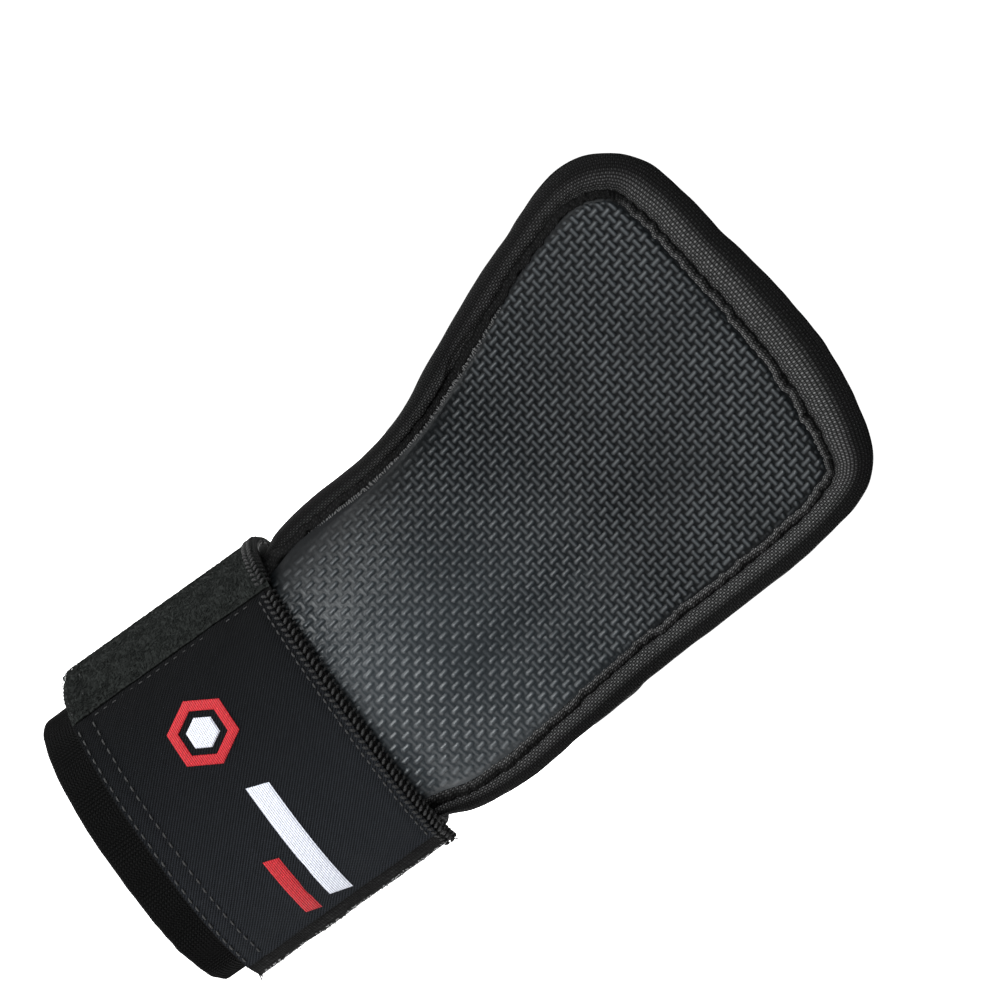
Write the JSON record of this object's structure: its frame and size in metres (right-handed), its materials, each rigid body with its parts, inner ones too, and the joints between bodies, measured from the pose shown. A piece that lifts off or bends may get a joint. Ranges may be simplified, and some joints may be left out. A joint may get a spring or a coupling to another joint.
{
  "type": "hand grip",
  "caption": "Padded palm grip with an embossed rubber face, rolled fabric rim, elastic wrist sleeve and a hook-and-loop wrist strap.",
  "frame": {"origin": "centre of the wrist opening, midway along the sewn sleeve's height at the wrist", "axes": "+Z from the wrist towards the fingers, -Y out of the rubber palm face, -X towards the thumb"},
  "size_m": [0.1021, 0.0607, 0.1826],
  "materials": {
    "ribbed_elastic": "ribbed knitted elastic, matt",
    "seam_tape": "woven tape, matt",
    "lining_fabric": "brushed knit lining, matt",
    "foam": "closed-cell foam sheet, matt",
    "grip_rubber": "embossed soft rubber, satin",
    "rim_fabric": "ribbed stretch fabric over foam",
    "ridge_fabric": "folded fabric edge with thread",
    "loop_plush": "hook-and-loop plush side",
    "strap_plush": "hook-and-loop plush strap",
    "hook_tape": "hook-and-loop hook side",
    "webbing": "woven webbing",
    "label_twill": "woven twill label",
    "overlock_thread": "overlock sewing thread",
    "thread": "polyester sewing thread",
    "red_yarn": "woven red yarn",
    "white_yarn": "woven white yarn"
  },
  "bodies": {
    "cuff": {"elastic_sleeve": "ribbed_elastic", "sleeve_seam": "seam_tape", "heel_lining": "lining_fabric", "heel_foam": "foam", "heel_rubber": "grip_rubber", "heel_rim": "rim_fabric", "loop_landing": "loop_plush", "landing_stitches": "thread", "heel_stitches": "thread", "band_anchor": "strap_plush", "anchor_stitches": "thread", "heel_flex": "grip_rubber"},
    "palm_pad": {"palm_lining": "lining_fabric", "palm_foam": "foam", "palm_rubber": "grip_rubber", "palm_rim": "rim_fabric", "palm_ridge": "ridge_fabric", "curl_flex": "grip_rubber"},
    "finger_pad": {"finger_lining": "lining_fabric", "finger_foam": "foam", "finger_rubber": "grip_rubber", "finger_rim": "rim_fabric", "finger_ridge": "ridge_fabric"},
    "band": {"thumb_band": "strap_plush", "band_binding": "overlock_thread", "band_stitches": "thread"},
    "tab": {"tab_web": "webbing", "tab_hook": "hook_tape", "tab_label": "label_twill", "tab_hem": "webbing", "tab_binding": "overlock_thread", "tab_stitches": "thread", "label_seam": "thread", "mark_red": "red_yarn", "mark_white": "white_yarn"}
  },
  "joints": [
    {"name": "pad_fold", "type": "hinge", "parent": "cuff", "child": "palm_pad", "pos_m": [0, -0.0265, 0.0395], "axis": [1, 0, 0], "range_deg": [-15, 90], "stiffness_Nm_per_rad": 0.12, "deforming": ["heel_flex"]},
    {"name": "finger_curl", "type": "hinge", "parent": "palm_pad", "child": "finger_pad", "pos_m": [0, -0.0212, 0.112], "axis": [1, 0, 0], "range_deg": [-10, 80], "stiffness_Nm_per_rad": 0.06, "deforming": ["curl_flex"]},
    {"name": "band_swing", "type": "hinge", "parent": "cuff", "child": "band", "pos_m": [-0.0218, 0.0242, 0.008], "axis": [0, 0, -1], "range_deg": [0, 80]},
    {"name": "tab_peel", "type": "hinge", "parent": "band", "child": "tab", "pos_m": [-0.0297, -0.0266, 0.008], "axis": [0, 0, -1], "range_deg": [0, 150]}
  ]
}
